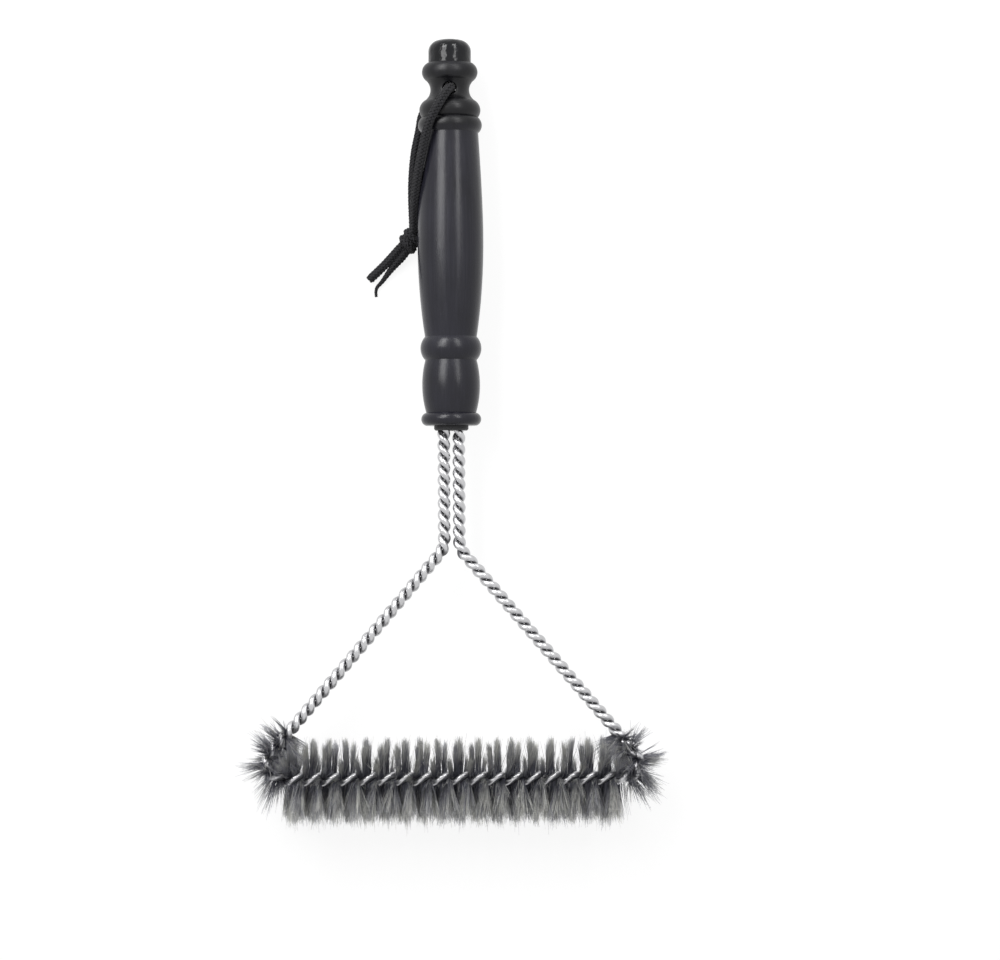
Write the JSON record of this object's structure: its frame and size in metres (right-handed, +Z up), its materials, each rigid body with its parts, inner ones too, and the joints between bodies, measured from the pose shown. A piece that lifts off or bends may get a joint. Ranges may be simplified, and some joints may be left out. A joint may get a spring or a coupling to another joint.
{
  "type": "grill cleaning brush",
  "caption": "Grill cleaning brush: a straight bristle head on a twisted-wire triangle, with two wire stems set in a turned plastic handle and a cord lanyard through its neck.",
  "frame": {"origin": "Centre of the brush's outline on the surface that it lies on; the lanyard is left out of the outline.", "axes": "+Z up from the surface, +Y from the bristle head along the handle to its end cap, +X to the right along the bristle head."},
  "size_m": [0.1647, 0.3, 0.032],
  "materials": {
    "handle": "satin",
    "cap": "satin",
    "plug": "matte",
    "wire": "bright drawn wire",
    "bristle": "fine dark steel bristles",
    "cord": "braided"
  },
  "bodies": {
    "brush": {"handle_grip": "handle", "end_cap": "cap", "socket_plug": "plug", "core_wire_a": "wire", "core_wire_b": "wire", "bristle_strip": "bristle", "bristle_fan_left": "bristle", "bristle_fan_right": "bristle", "lanyard_front": "cord", "lanyard_rear": "cord", "lanyard_knot": "cord", "lanyard_tail_long": "cord", "lanyard_tail_short": "cord"}
  },
  "joints": []
}
